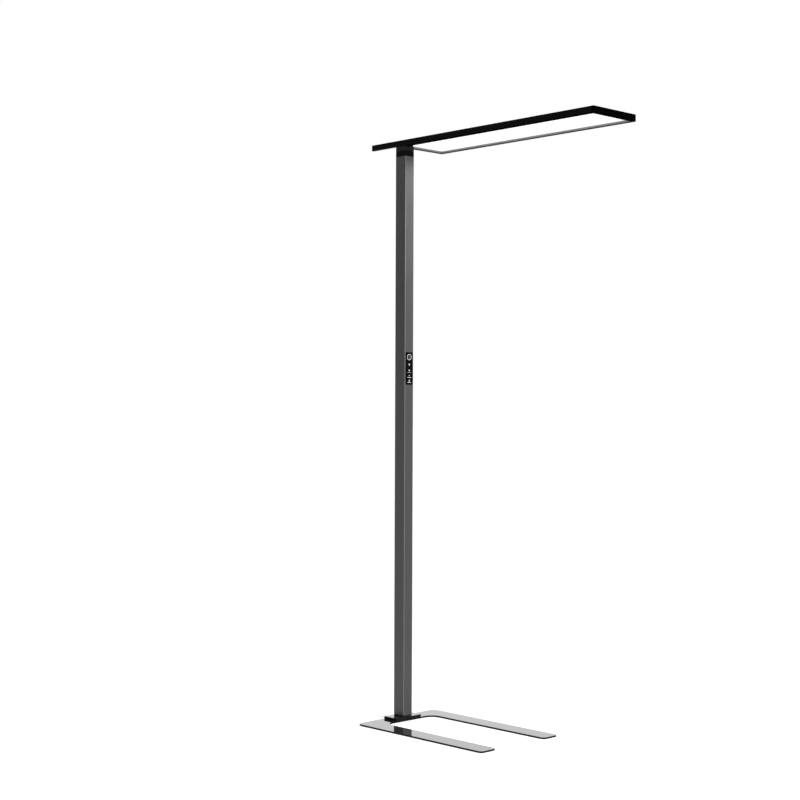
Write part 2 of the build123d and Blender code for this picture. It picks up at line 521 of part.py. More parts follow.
with BuildPart() as right_end:
    block(XR, HEAD_X1, HEAD_Y0, HEAD_Y1, Z_BEZEL0, Z_HEAD1)
    chamfer(right_end.faces().sort_by(Axis.X)[-1].edges(), 0.5)
    block(XR - LIP_W, XR + 1, YN, YF, Z_HEAD0, Z_DIFF)
    for y in (Y_NEAR, Y_FAR):
        block(XR - 1, XR + 4, y - HOLLOW_Y / 2, y + HOLLOW_Y / 2, Z_MID - HOLLOW_Z / 2, Z_MID + HOLLOW_Z / 2,
              mode=Mode.SUBTRACT)
        with Locations(Location((XR + 3, y, Z_MID), (0, 90, 0))):
            Cylinder(2.0, 5.5, align=LOW, mode=Mode.SUBTRACT)

# flat bezel under the rails, cut clear of the neck
with BuildPart() as panel_bezel:
    block(HEAD_X0, XR, HEAD_Y0, HEAD_Y1, Z_BEZEL0, Z_HEAD0)
    fillet(panel_bezel.edges().filter_by(Axis.Z).sort_by(lambda e: e.center().X - e.center().Y)[0], 5.0)
    chamfer(panel_bezel.faces().sort_by(Axis.Z)[0].edges().filter_by(Axis.X), 0.4)
    block(XL, XR + 1, YN, YF, Z_BEZEL0 - 1, Z_HEAD0 + 1, Mode.SUBTRACT)
    block(HEAD_X0 - 1, POLE_X / 2 + 0.3, HEAD_Y0 - 1, POLE_Y / 2 + 0.3, Z_BEZEL0 - 1, Z_HEAD0 + 1, Mode.SUBTRACT)

with BuildPart() as tail_cap:
    with BuildSketch(Plane(origin=(HEAD_XT, Y_NEAR, Z_MID), x_dir=(0, 1, 0), z_dir=(1, 0, 0))):
        RectangleRounded(RAIL_W, HEAD_H, 0.6)
    extrude(amount=CAP_T)
    chamfer(tail_cap.faces().sort_by(Axis.X)[0].edges(), 0.4)
    block(HEAD_XT + CAP_T - 0.5, HEAD_XT + CAP_T + 12, Y_NEAR - HOLLOW_Y / 2 + 0.1, Y_NEAR + HOLLOW_Y / 2 - 0.1,
          Z_MID - HOLLOW_Z / 2 + 0.1, Z_MID + HOLLOW_Z / 2 - 0.1)

with BuildPart() as corner_cap:
    block(HEAD_X0, HEAD_X0 + CORNER_T, YF, HEAD_Y1, Z_HEAD0, Z_HEAD1)
    fillet(corner_cap.edges().filter_by(Axis.Z).sort_by(lambda e: e.center().X - e.center().Y)[0], 5.0)
    chamfer(corner_cap.faces().sort_by(Axis.Z)[0].edges().group_by(Axis.X)[0], 0.4)
    block(HEAD_X0 + CORNER_T - 0.5, HEAD_X0 + CORNER_T + 12, Y_FAR - HOLLOW_Y / 2 + 0.1, Y_FAR + HOLLOW_Y / 2 - 0.1,
          Z_MID - HOLLOW_Z / 2 + 0.1, Z_MID + HOLLOW_Z / 2 - 0.1)

# steel bar inside the front rail above the neck
with BuildPart() as rail_insert:
    block(-64.0, 64.0, Y_NEAR - HOLLOW_Y / 2 + 0.1, Y_NEAR + HOLLOW_Y / 2 - 0.1,
          Z_MID - HOLLOW_Z / 2 + 0.1, Z_MID + HOLLOW_Z / 2 - 0.1)
    with Locations(*[(x, y, Z_HEAD0) for x, y in RAIL_SCREWS]):
        Cylinder(1.95, 12.0, align=LOW, mode=Mode.SUBTRACT)
    with Locations(*[Location((x, YN, 2088.0), (90, 0, 0)) for x in MOUNT_FIX]):
        Cylinder(1.5, 7.0, align=LOW, mode=Mode.SUBTRACT)

with BuildPart() as mount_bracket:
    block(XL + LIP_W + 0.2, MOUNT_X, YN + LIP_W + 0.2, MOUNT_Y, Z_HEAD0, BRACKET_Z1)
    block(XL, MOUNT_X, YN, MOUNT_Y, Z_DIFF, BRACKET_Z1)
    block(XL, 60.0, YN, YN + 8.0, BRACKET_Z0, BRACKET_Z1)
    block(XL, XL + 8.0, YN, 30.0, BRACKET_Z0, BRACKET_Z1)
    with Locations(*[(x, y, Z_HEAD0) for x, y in PAD_SCREWS]):
        Cylinder(1.95, 11.0, align=LOW, mode=Mode.SUBTRACT)
    with Locations((*WIRE_HOLE, Z_HEAD0)):
        Cylinder(1.6, 20.0, align=LOW, mode=Mode.SUBTRACT)
    with Locations(*[Location((x, YN - 1, 2088.0), (-90, 0, 0)) for x in MOUNT_FIX]):
        Cylinder(1.6, 10.0, align=LOW, mode=Mode.SUBTRACT)
    with Locations(Location((XL - 1, 25.0, 2088.0), (0, 90, 0))):
        Cylinder(1.6, 10.0, align=LOW, mode=Mode.SUBTRACT)

with BuildPart() as corner_bracket:
    block(XL, 40.0, YF - 8.0, YF, BRACKET_Z0, BRACKET_Z1)
    block(XL, XL + 8.0, 148.0, YF, BRACKET_Z0, BRACKET_Z1)
    with Locations(*[Location((x, YF + 1, 2088.0), (90, 0, 0)) for x in (20.0, 33.0)]):
        Cylinder(1.6, 10.0, align=LOW, mode=Mode.SUBTRACT)
    with Locations(*[Location((XL - 1, y, 2088.0), (0, 90, 0)) for y in (155.0, 170.0)]):
        Cylinder(1.6, 10.0, align=LOW, mode=Mode.SUBTRACT)

with BuildPart() as bracket_screws:
    with Locations(*[Location((x, YN + 8.0, 2088.0), (90, 0, 0)) for x in MOUNT_FIX],
                   *[Location((x, YF - 8.0, 2088.0), (-90, 0, 0)) for x in (20.0, 33.0)],
                   *[Location((XL + 8.0, y, 2088.0), (0, -90, 0)) for y in (25.0, 155.0, 170.0)]):
        Cylinder(1.4, 13.5, align=LOW)
        Cylinder(2.7, 2.0, align=HIGH)

with BuildPart() as corner_keys:
    for y in (Y_NEAR, Y_FAR):
        block(855.0, XR + 3.8, y - HOLLOW_Y / 2 + 0.1, y + HOLLOW_Y / 2 - 0.1,
              Z_MID - HOLLOW_Z / 2 + 0.1, Z_MID + HOLLOW_Z / 2 - 0.1)
    with Locations(*[Location((854.0, y, Z_MID), (0, 90, 0)) for y in (Y_NEAR, Y_FAR)]):
        Cylinder(3.2, 5.0, align=LOW, mode=Mode.SUBTRACT)
        Cylinder(2.1, 40.0, align=LOW, mode=Mode.SUBTRACT)
    with Locations(Location((866.0, YN, 2088.0), (90, 0, 0)), Location((866.0, YF, 2088.0), (-90, 0, 0))):
        Cylinder(1.5, 3.0, align=LOW, mode=Mode.SUBTRACT)

with BuildPart() as key_screws:
    with Locations(*[Location((855.4, y, Z_MID), (0, 90, 0)) for y in (Y_NEAR, Y_FAR)]):
        Cylinder(3.0, 3.6, align=LOW)
        Cylinder(1.95, 37.0, align=LOW)
    with BuildSketch(Plane(origin=(855.4, 0, Z_MID), x_dir=(0, 1, 0), z_dir=(1, 0, 0))):
        with Locations((Y_NEAR, 0), (Y_FAR, 0)):
            RegularPolygon(1.7, 6)
    extrude(amount=2.0, mode=Mode.SUBTRACT)

with BuildPart() as grub_screws:
    with Locations(Location((866.0, YN - 0.1, 2088.0), (90, 0, 0)), Location((866.0, YF + 0.1, 2088.0), (-90, 0, 0))):
        Cylinder(1.4, 2.7, align=LOW)

with BuildPart() as top_cover:
    block(XL + 0.2, XR - 0.2, YN + 0.2, YF - 0.2, Z_COVER, Z_HEAD1)
    chamfer(top_cover.faces().sort_by(Axis.Z)[-1].edges(), 0.2)
    with Locations(*[(x, y, Z_HEAD1) for x in (40, 240, 440, 640, 840) for y in (YN + 3.2, YF - 3.2)]):
        CounterSinkHole(radius=1.3, counter_sink_radius=2.3, depth=COVER_T)

with BuildPart() as cover_screws:
    with Locations(*[(x, y, Z_HEAD1 - 0.15) for x in (40, 240, 440, 640, 840) for y in (YN + 3.2, YF - 3.2)]):
        Cylinder(1.15, 3.1, align=HIGH)
    with Locations(*[(x, y, Z_HEAD1 - 1.0) for x in (40, 240, 440, 640, 840) for y in (YN + 3.2, YF - 3.2)]):
        Cone(1.15, 2.0, 0.85, align=LOW)

with BuildPart() as led_boards:
    for y in LED_Y:
        block(LED_X0, LED_X1, y - LED_W / 2, y + LED_W / 2, Z_COVER - LED_T, Z_COVER)

with BuildPart() as led_chips:
    with Locations(*[(LED_X0 + 22.5 + 46.0 * i, y, Z_COVER - LED_T) for i in range(18) for y in LED_Y]):
        Box(5.0, 5.0, CHIP_T, align=HIGH)

with BuildPart() as reflector:
    block(XL + 0.1, XR - 0.1, YN + 0.1, YF - 0.1, TRAY_Z0, TRAY_Z1)
    block(XL + 0.1 + TRAY_T, XR - 0.1 - TRAY_T, YN + 0.1 + TRAY_T, YF - 0.1 - TRAY_T,
          TRAY_Z0 - 1, TRAY_Z1 - TRAY_T, mode=Mode.SUBTRACT)
    for y in LED_Y:
        block(LED_X0 + 10, LED_X1 - 20, y - 4.5, y + 4.5, TRAY_Z1 - 2, TRAY_Z1 + 1, mode=Mode.SUBTRACT)
    block(XL - 1, 60.5, YN - 1, 30.5, TRAY_Z0 - 1, TRAY_Z1 + 1, mode=Mode.SUBTRACT)
    block(XL - 1, 40.5, 147.5, YF + 1, TRAY_Z0 - 1, TRAY_Z1 + 1, mode=Mode.SUBTRACT)

with BuildPart() as diffuser:
    block(XL + 0.3, XR - 0.3, YN + 0.3, YF - 0.3, Z_DIFF, Z_DIFF + DIFF_T)
    block(XL - 1, MOUNT_X + 0.4, YN - 1, MOUNT_Y + 0.4, Z_DIFF - 1, Z_DIFF + DIFF_T + 1, mode=Mode.SUBTRACT)

WIRE_Z = 2097.45
with BuildPart() as head_wire:
    with BuildLine() as head_route:
        FilletPolyline((0, 0, 2066.5), (0, 0, 2068.6), (12.5, 0, 2072.0), (12.5, 0, WIRE_Z), (12.5, LED_Y[0], WIRE_Z),
                       (LED_X0, LED_Y[0], WIRE_Z), radius=[2.5, 2.5, 6.0, 8.0])
    with BuildSketch(Plane(origin=(0, 0, 2066.5), x_dir=(1, 0, 0), z_dir=(0, 0, 1))):
        Circle(0.9)
    sweep(path=head_route.wire())
    with Locations(Location((LED_X0 + 4, LED_Y[0] + LED_W / 2, WIRE_Z + 0.1), (-90, 0, 0))):
        Cylinder(0.9, LED_Y[1] - LED_Y[0] - LED_W, align=LOW)

for route, radius_of in ((inlet_route, 1.5), (riser_route, 1.5), (panel_route, 1.2), (head_route, 0.9)):
    bends = sorted({round(e.radius, 1) for e in route.edges() if e.geom_type == GeomType.CIRCLE})
    print("wire radius", radius_of, "bend radii", bends, "length", round(route.wire().length, 1))

# ---------------------------------------------------------------- export ----
floor_pad.part.label = "floor_pad"
export_step(floor_pad.part, "parts/floor_pad.step")
base_plate.part.label = "base_plate"
export_step(base_plate.part, "parts/base_plate.step")
foot_screws.part.label = "foot_screws"
export_step(foot_screws.part, "parts/foot_screws.step")
foot_block.part.label = "foot_block"
export_step(foot_block.part, "parts/foot_block.step")
pole_screws.part.label = "pole_screws"
export_step(pole_screws.part, "parts/pole_screws.step")
foot_gasket.part.label = "foot_gasket"
export_step(foot_gasket.part, "parts/foot_gasket.step")
pole_plug_low.part.label = "pole_plug_low"
export_step(pole_plug_low.part, "parts/pole_plug_low.step")
pole.part.label = "pole"
export_step(pole.part, "parts/pole.step")
pole_plug_top.part.label = "pole_plug_top"
export_step(pole_plug_top.part, "parts/pole_plug_top.step")
wall_screws.part.label = "wall_screws"
export_step(wall_screws.part, "parts/wall_screws.step")
power_inlet.part.label = "power_inlet"
export_step(power_inlet.part, "parts/power_inlet.step")
inlet_pin.part.label = "inlet_pin"
export_step(inlet_pin.part, "parts/inlet_pin.step")
inlet_nut.part.label = "inlet_nut"
export_step(inlet_nut.part, "parts/inlet_nut.step")
led_driver.part.label = "led_driver"
export_step(led_driver.part, "parts/led_driver.step")
inlet_wire.part.label = "inlet_wire"
export_step(inlet_wire.part, "parts/inlet_wire.step")
riser_wire.part.label = "riser_wire"
export_step(riser_wire.part, "parts/riser_wire.step")
panel_wire.part.label = "panel_wire"
export_step(panel_wire.part, "parts/panel_wire.step")
wire_clips.part.label = "wire_clips"
export_step(wire_clips.part, "parts/wire_clips.step")
strip_housing.part.label = "strip_housing"
export_step(strip_housing.part, "parts/strip_housing.step")
control_board.part.label = "control_board"
export_step(control_board.part, "parts/control_board.step")
key_switches.part.label = "key_switches"
export_step(key_switches.part, "parts/key_switches.step")
power_key.part.label = "power_key"
export_step(power_key.part, "parts/power_key.step")
light_key.part.label = "light_key"
export_step(light_key.part, "parts/light_key.step")
tone_key.part.label = "tone_key"
export_step(tone_key.part, "parts/tone_key.step")
more_key.part.label = "more_key"
export_step(more_key.part, "parts/more_key.step")
less_key.part.label = "less_key"
export_step(less_key.part, "parts/less_key.step")
swivel_collar.part.label = "swivel_collar"
export_step(swivel_collar.part, "parts/swivel_collar.step")
collar_screws.part.label = "collar_screws"
export_step(collar_screws.part, "parts/collar_screws.step")
slip_washer.part.label = "slip_washer"
export_step(slip_washer.part, "parts/slip_washer.step")
neck_block.part.label = "neck_block"
export_step(neck_block.part, "parts/neck_block.step")
neck_screws.part.label = "neck_screws"
export_step(neck_screws.part, "parts/neck_screws.step")
neck_lid.part.label = "neck_lid"
export_step(neck_lid.part, "parts/neck_lid.step")
head_screws.part.label = "head_screws"
export_step(head_screws.part, "parts/head_screws.step")
swivel_shaft.part.label = "swivel_shaft"
export_step(swivel_shaft.part, "parts/swivel_shaft.step")
flange_screws.part.label = "flange_screws"
export_step(flange_screws.part, "parts/flange_screws.step")
stop_pin.part.label = "stop_pin"
export_step(stop_pin.part, "parts/stop_pin.step")
thrust_washer.part.label = "thrust_washer"
export_step(thrust_washer.part, "parts/thrust_washer.step")
spring_washer.part.label = "spring_washer"
export_step(spring_washer.part, "parts/spring_washer.step")
swivel_nut.part.label = "swivel_nut"
export_step(swivel_nut.part, "parts/swivel_nut.step")
near_rail.part.label = "near_rail"
export_step(near_rail.part, "parts/near_rail.step")
far_rail.part.label = "far_rail"
export_step(far_rail.part, "parts/far_rail.step")
left_end.part.label = "left_end"
export_step(left_end.part, "parts/left_end.step")
right_end.part.label = "right_end"
export_step(right_end.part, "parts/right_end.step")
panel_bezel.part.label = "panel_bezel"
export_step(panel_bezel.part, "parts/panel_bezel.step")
tail_cap.part.label = "tail_cap"
export_step(tail_cap.part, "parts/tail_cap.step")
corner_cap.part.label = "corner_cap"
export_step(corner_cap.part, "parts/corner_cap.step")
rail_insert.part.label = "rail_insert"
export_step(rail_insert.part, "parts/rail_insert.step")
mount_bracket.part.label = "mount_bracket"
export_step(mount_bracket.part, "parts/mount_bracket.step")
corner_bracket.part.label = "corner_bracket"
export_step(corner_bracket.part, "parts/corner_bracket.step")
bracket_screws.part.label = "bracket_screws"
export_step(bracket_screws.part, "parts/bracket_screws.step")
corner_keys.part.label = "corner_keys"
export_step(corner_keys.part, "parts/corner_keys.step")
key_screws.part.label = "key_screws"
export_step(key_screws.part, "parts/key_screws.step")
grub_screws.part.label = "grub_screws"
export_step(grub_screws.part, "parts/grub_screws.step")
top_cover.part.label = "top_cover"
export_step(top_cover.part, "parts/top_cover.step")
cover_screws.part.label = "cover_screws"
export_step(cover_screws.part, "parts/cover_screws.step")
led_boards.part.label = "led_boards"
export_step(led_boards.part, "parts/led_boards.step")
led_chips.part.label = "led_chips"
export_step(led_chips.part, "parts/led_chips.step")
reflector.part.label = "reflector"
export_step(reflector.part, "parts/reflector.step")
diffuser.part.label = "diffuser"
export_step(diffuser.part, "parts/diffuser.step")
head_wire.part.label = "head_wire"
export_step(head_wire.part, "parts/head_wire.step")
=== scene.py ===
"""Looks, light and camera for the piano lamp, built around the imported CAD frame. Metres throughout."""

import math

import bpy
from mathutils import Matrix, Vector


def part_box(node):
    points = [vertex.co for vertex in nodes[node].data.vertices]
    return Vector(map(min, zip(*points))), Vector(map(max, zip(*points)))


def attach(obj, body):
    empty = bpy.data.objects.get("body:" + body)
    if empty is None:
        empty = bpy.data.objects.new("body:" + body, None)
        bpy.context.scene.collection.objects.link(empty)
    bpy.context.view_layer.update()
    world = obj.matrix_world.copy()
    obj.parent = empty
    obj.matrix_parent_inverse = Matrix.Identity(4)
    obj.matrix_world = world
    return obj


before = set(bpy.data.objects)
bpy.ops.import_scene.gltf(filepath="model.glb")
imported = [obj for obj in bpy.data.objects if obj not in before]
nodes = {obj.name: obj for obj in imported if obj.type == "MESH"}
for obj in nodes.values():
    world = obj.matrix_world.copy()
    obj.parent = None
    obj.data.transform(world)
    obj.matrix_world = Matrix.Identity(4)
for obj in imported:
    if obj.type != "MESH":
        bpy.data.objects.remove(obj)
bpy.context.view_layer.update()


# ---------------------------------------------------------------- camera
FOCAL_PX = 1518.4385165
EYE = Vector((3.986035429, -3.813231858, 1.121202114))
YAW, PITCH, ROLL = 0.8101952582, 0.0067059343, 0.0037684247

right = Vector((math.cos(YAW), math.sin(YAW), 0.0))
ahead = Vector(
    (
        -math.sin(YAW) * math.cos(PITCH),
        math.cos(YAW) * math.cos(PITCH),
        math.sin(PITCH),
    )
)
above = right.cross(ahead)
cam_x = right * math.cos(ROLL) + above * math.sin(ROLL)
cam_y = -right * math.sin(ROLL) + above * math.cos(ROLL)

lens = bpy.data.cameras.new("view")
lens.sensor_fit = "HORIZONTAL"
lens.sensor_width = 36.0
lens.lens = 36.0 * FOCAL_PX / 800.0
lens.clip_start = 0.05
lens.clip_end = 200.0
camera = bpy.data.objects.new("view", lens)
bpy.context.scene.collection.objects.link(camera)
camera.matrix_world = Matrix(
    (
        (cam_x.x, cam_y.x, -ahead.x, EYE.x),
        (cam_x.y, cam_y.y, -ahead.y, EYE.y),
        (cam_x.z, cam_y.z, -ahead.z, EYE.z),
        (0, 0, 0, 1),
    )
)
bpy.context.scene.camera = camera


# ---------------------------------------------------------------- material kit
OPENING = ((0.002, 0.885), (-0.011, 0.188))  # between the inner faces of the rims, X and Y
LIP_TOP = 2.0834  # just above the underside of the panel


class Surface:
    """One Principled material with its textures in object space, in metres."""

    def __init__(self, name, **sockets):
        self.material = bpy.data.materials.new(name)
        self.material.use_nodes = True
        self.tree = self.material.node_tree
        self.tree.nodes.clear()
        self.out = self.node("ShaderNodeOutputMaterial")
        self.shader = self.node("ShaderNodeBsdfPrincipled")
        self.link(self.shader.outputs["BSDF"], self.out.inputs["Surface"])
        self.place = self.node("ShaderNodeTexCoord").outputs["Object"]
        self.normal = None
        for key, value in sockets.items():
            self.shader.inputs[key.replace("_", " ")].default_value = value

    def node(self, kind, **settings):
        made = self.tree.nodes.new(kind)
        for key, value in settings.items():
            setattr(made, key, value)
        return made

    def link(self, a, b):
        self.tree.links.new(a, b)

    def stretched(self, stretch):
        if stretch == (1, 1, 1):
            return self.place
        m = self.node("ShaderNodeMapping")
        m.inputs["Scale"].default_value = stretch
        self.link(self.place, m.inputs["Vector"])
        return m.outputs["Vector"]

    def noise(self, scale, detail=3.0, rough=0.55, stretch=(1, 1, 1), twist=0.0):
        n = self.node("ShaderNodeTexNoise")
        n.inputs["Scale"].default_value = scale
        n.inputs["Detail"].default_value = detail
        n.inputs["Roughness"].default_value = rough
        n.inputs["Distortion"].default_value = twist
        self.link(self.stretched(stretch), n.inputs["Vector"])
        return n.outputs["Fac"]

    def grains(self, scale, stretch=(1, 1, 1)):
        v = self.node("ShaderNodeTexVoronoi")
        v.inputs["Scale"].default_value = scale
        self.link(self.stretched(stretch), v.inputs["Vector"])
        return v.outputs["Distance"]

    def math(self, op, a, b=None, clamp=False):
        m = self.node("ShaderNodeMath", operation=op, use_clamp=clamp)
        for i, x in enumerate((a, b)):
            if x is None:
                continue
            if isinstance(x, (int, float)):
                m.inputs[i].default_value = x
            else:
                self.link(x, m.inputs[i])
        return m.outputs[0]

    def spread(self, fac, lo, hi, out_lo, out_hi):
        r = self.node("ShaderNodeMapRange")
        for key, value in (
            ("From Min", lo),
            ("From Max", hi),
            ("To Min", out_lo),
            ("To Max", out_hi),
        ):
            r.inputs[key].default_value = value
        self.link(fac, r.inputs["Value"])
        return r.outputs["Result"]

    def colours(self, fac, *stops):
        r = self.node("ShaderNodeValToRGB")
        e = r.color_ramp.elements
        while len(e) < len(stops):
            e.new(0.5)
        for element, (at, colour) in zip(e, stops):
            element.position = at
            element.color = (*colour, 1.0)
        self.link(fac, r.inputs["Fac"])
        return r.outputs["Color"]

    def blend(self, fac, a, b):
        m = self.node("ShaderNodeMix", data_type="RGBA")
        self.link(fac, m.inputs[0])
        for socket, x in ((m.inputs[6], a), (m.inputs[7], b)):
            if isinstance(x, tuple):
                socket.default_value = (*x, 1.0)
            else:
                self.link(x, socket)
        return m.outputs[2]

    def edges(self, radius, lo=0.02, hi=0.30):
        """1 on sharp outer edges and 0 on flats: the rounded normal against the real one."""
        bevel = self.node("ShaderNodeBevel", samples=4)
        bevel.inputs["Radius"].default_value = radius
        geometry = self.node("ShaderNodeNewGeometry")
        dot = self.node("ShaderNodeVectorMath", operation="DOT_PRODUCT")
        self.link(bevel.outputs["Normal"], dot.inputs[0])
        self.link(geometry.outputs["Normal"], dot.inputs[1])
        return self.spread(
            self.math("SUBTRACT", 1.0, dot.outputs["Value"]), lo, hi, 0.0, 1.0
        )

    def lip(self, ground):
        """The rims' faces around the panel get a light grey coat painted as the sheen they take from the lit panel,
        darkened towards the bottom edge as painted shade.
        """
        split = self.node("ShaderNodeSeparateXYZ")
        self.link(self.place, split.inputs["Vector"])
        reach = self.math("SUBTRACT", LIP_TOP, split.outputs["Z"])
        for axis, (a, b) in zip("XY", OPENING):
            for d in (
                self.math("SUBTRACT", split.outputs[axis], a - 0.0001),
                self.math("SUBTRACT", b + 0.0001, split.outputs[axis]),
            ):
                reach = self.math("MINIMUM", reach, d)
        # painted shade: the coat darkens from next to the panel down to the bottom edge, with a little random tone on
        # top
        painted_shade_and_tone = self.math(
            "MULTIPLY",
            self.spread(split.outputs["Z"], 2.0765, 2.0820, 0.22, 1.0),
            self.spread(self.noise(160.0, 3.0), 0.3, 0.7, 0.88, 1.0),
        )
        painted_sheen_and_shade = self.colours(painted_shade_and_tone, (0.0, grey(0.0)), (1.0, grey(0.38, (1.0, 0.99, 0.97))))
        return self.blend(self.math("GREATER_THAN", reach, 0.0), ground, painted_sheen_and_shade)

    def colour(self, socket):
        self.link(socket, self.shader.inputs["Base Color"])

    def roughness(self, socket):
        self.link(socket, self.shader.inputs["Roughness"])

    def bump(self, height, strength, distance):
        b = self.node("ShaderNodeBump")
        b.inputs["Strength"].default_value = strength
        b.inputs["Distance"].default_value = distance
        self.link(height, b.inputs["Height"])
        if self.normal is not None:
            self.link(self.normal, b.inputs["Normal"])
        self.normal = b.outputs["Normal"]
        self.link(self.normal, self.shader.inputs["Normal"])


def grey(v, tint=(1.0, 1.0, 1.0)):
    return tuple(v * t for t in tint)


# ---------------------------------------------------------------- materials, one for each slot
def lacquer(name, deep, haze):
    """Polished black lacquer on the top faces, with a faint orange peel, and dull black on the cut edges."""
    s = Surface(
        name, IOR=1.5, Specular_IOR_Level=0.06, Coat_Roughness=0.035, Coat_IOR=1.40
    )
    split = s.node("ShaderNodeSeparateXYZ")
    s.link(s.node("ShaderNodeTexCoord").outputs["Normal"], split.inputs["Vector"])
    s.link(
        s.spread(split.outputs["Z"], 0.90, 0.97, 0.0, 1.0),
        s.shader.inputs["Coat Weight"],
    )
    cloud = s.noise(9.0, 4.0)
    dust = s.noise(900.0, 2.0, 0.7)
    s.colour(
        s.colours(
            cloud,
            (0.30, grey(deep)),
            (0.72, grey(deep * 1.7, (1.0, 0.99, 0.98))),
        )
    )
    s.roughness(
        s.math(
            "ADD",
            s.spread(cloud, 0.3, 0.7, haze, haze * 1.5),
            s.spread(dust, 0.62, 0.80, 0.0, 0.10),
        )
    )
    s.bump(s.noise(260.0, 2.0, 0.4), 0.05, 0.0002)
    return s.material


def anodised(name, dark, light, rough, level, along, worn=0.05, painted_highlight_corners=None, lip=False):
    """Satin black anodised aluminium: fine lines along the extrusion and a light etch grain.

    A pair of half sizes, for a tube about the Z axis, gives its rounded corners a painted highlight: a lighter grey
    standing in for the light they catch.
    """
    s = Surface(name, IOR=1.5, Specular_IOR_Level=level)
    stretch = {"x": (0.03, 1, 1), "y": (1, 0.03, 1), "z": (1, 1, 0.03)}[along]
    lines = s.noise(1400.0, 3.0, 0.6, stretch)
    cloud = s.noise(5.0, 5.0, 0.6)
    etch = s.noise(3800.0, 2.0, 0.7)
    mixed = s.math(
        "ADD",
        s.spread(cloud, 0.25, 0.75, 0.0, 0.55),
        s.spread(lines, 0.30, 0.70, 0.0, 0.45),
    )
    ground = s.colours(mixed, (0.10, dark), (0.90, light))
    if painted_highlight_corners is not None:
        split = s.node("ShaderNodeSeparateXYZ")
        s.link(s.place, split.inputs["Vector"])
        reach = [
            s.spread(
                s.math("ABSOLUTE", split.outputs[axis]), half - 0.0018, half, 0.0, 1.0
            )
            for axis, half in zip("XY", painted_highlight_corners)
        ]
        # painted highlight: the tube's rounded corners turned a lighter grey, in place of the light they catch
        ground = s.blend(
            s.math("MULTIPLY", s.math("MULTIPLY", *reach), 1.6, clamp=True),
            ground,
            grey(0.20, (1.0, 0.99, 0.98)),
        )
    if lip:
        ground = s.lip(ground)
    s.colour(
        s.blend(
            s.math("MULTIPLY", s.edges(0.0006), worn),
            ground,
            grey(0.22, (1.0, 0.99, 0.97)),
        )
    )
    s.roughness(
        s.math(
            "ADD",
            s.spread(cloud, 0.3, 0.7, rough - 0.03, rough + 0.03),
            s.spread(lines, 0.3, 0.7, -0.03, 0.03),
        )
    )
    s.bump(lines, 0.10, 0.00004)
    s.bump(etch, 0.12, 0.00004)
    return s.material


def moulded(name, dark, light, rough, level, grain=0.25, scale=1500.0, lip=False, **more):
    """Moulded plastic or rubber with a spark-eroded grain."""
    s = Surface(name, IOR=1.5, Specular_IOR_Level=level, **more)
    cloud = s.noise(14.0, 4.0)
    pits = s.grains(scale)
    ground = s.colours(cloud, (0.28, dark), (0.72, light))
    s.colour(s.lip(ground) if lip else ground)
    s.roughness(
        s.math(
            "ADD",
            s.spread(cloud, 0.3, 0.7, rough - 0.04, rough + 0.04),
            s.spread(pits, 0.0, 0.6, 0.04, -0.04),
        )
    )
    s.bump(pits, grain, 0.00006)
    return s.material


def machined(name, dark, light, rough, pitch=2600.0, stretch=(0.05, 1, 1), worn=0.3):
    """Bare or plated metal with fine tool marks."""
    s = Surface(name, Metallic=1.0, IOR=1.5)
    marks = s.noise(pitch, 2.0, 0.6, stretch)
    cloud = s.noise(22.0, 4.0)
    ground = s.colours(
        s.math("MULTIPLY", s.math("ADD", marks, cloud), 0.5), (0.36, dark), (0.64, light)
    )
    s.colour(
        s.blend(
            s.math("MULTIPLY", s.edges(0.0004), worn), ground, grey(0.8, (1.0, 1.0, 0.99))
        )
    )
    s.roughness(s.spread(marks, 0.3, 0.7, rough - 0.08, rough + 0.08))
    s.bump(marks, 0.18, 0.00005)
    return s.material


def opal(name):
    """Lit opal panel: even in the middle, its glow a little weaker where it meets the rims, where its colour is also
    darkened as painted shade.
    """
    s = Surface(name, IOR=1.49, Roughness=0.42, Specular_IOR_Level=0.5)
    lo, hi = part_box("diffuser")
    split = s.node("ShaderNodeSeparateXYZ")
    s.link(s.place, split.inputs["Vector"])
    reach = None
    for axis, a, b in (("X", lo.x, hi.x), ("Y", lo.y, hi.y)):
        for edge, sign in ((a, 1.0), (b, -1.0)):
            d = s.math("MULTIPLY", s.math("SUBTRACT", split.outputs[axis], edge), sign)
            reach = d if reach is None else s.math("MINIMUM", reach, d)
    cloud = s.noise(60.0, 3.0)
    glow_falloff_and_shade = s.spread(reach, 0.001, 0.013, 0.0, 1.0)
    level = s.math("MULTIPLY", glow_falloff_and_shade, s.spread(cloud, 0.3, 0.7, 0.985, 1.0))
    white = s.colours(cloud, (0.3, grey(0.28)), (0.7, grey(0.32, (1.0, 1.0, 0.99))))
    # painted shade: the panel's colour darkens to grey 0.10 next to the rims
    s.colour(s.blend(glow_falloff_and_shade, grey(0.10), white))
    s.link(
        s.colours(
            level, (0.0, (0.15, 0.148, 0.143)), (1.0, (1.0, 0.992, 0.975))
        ),
        s.shader.inputs["Emission Color"],
    )
    s.shader.inputs["Emission Strength"].default_value = 0.78
    s.bump(s.grains(1800.0), 0.08, 0.00004)
    return s.material


def board(name, dark, light, rough):
    """Solder mask over copper: faint raised tracks and a slight gloss."""
    s = Surface(name, IOR=1.5, Specular_IOR_Level=0.5)
    tracks = s.node("ShaderNodeTexBrick")
    tracks.inputs["Scale"].default_value = 120.0
    tracks.inputs["Mortar Size"].default_value = 0.09
    s.link(s.place, tracks.inputs["Vector"])
    cloud = s.noise(40.0, 3.0)
    s.colour(
        s.blend(
            tracks.outputs["Fac"],
            s.colours(cloud, (0.3, dark), (0.7, light)),
            light,
        )
    )
    s.roughness(s.spread(cloud, 0.3, 0.7, rough - 0.05, rough + 0.05))
    s.bump(tracks.outputs["Fac"], 0.3, 0.00005)
    return s.material


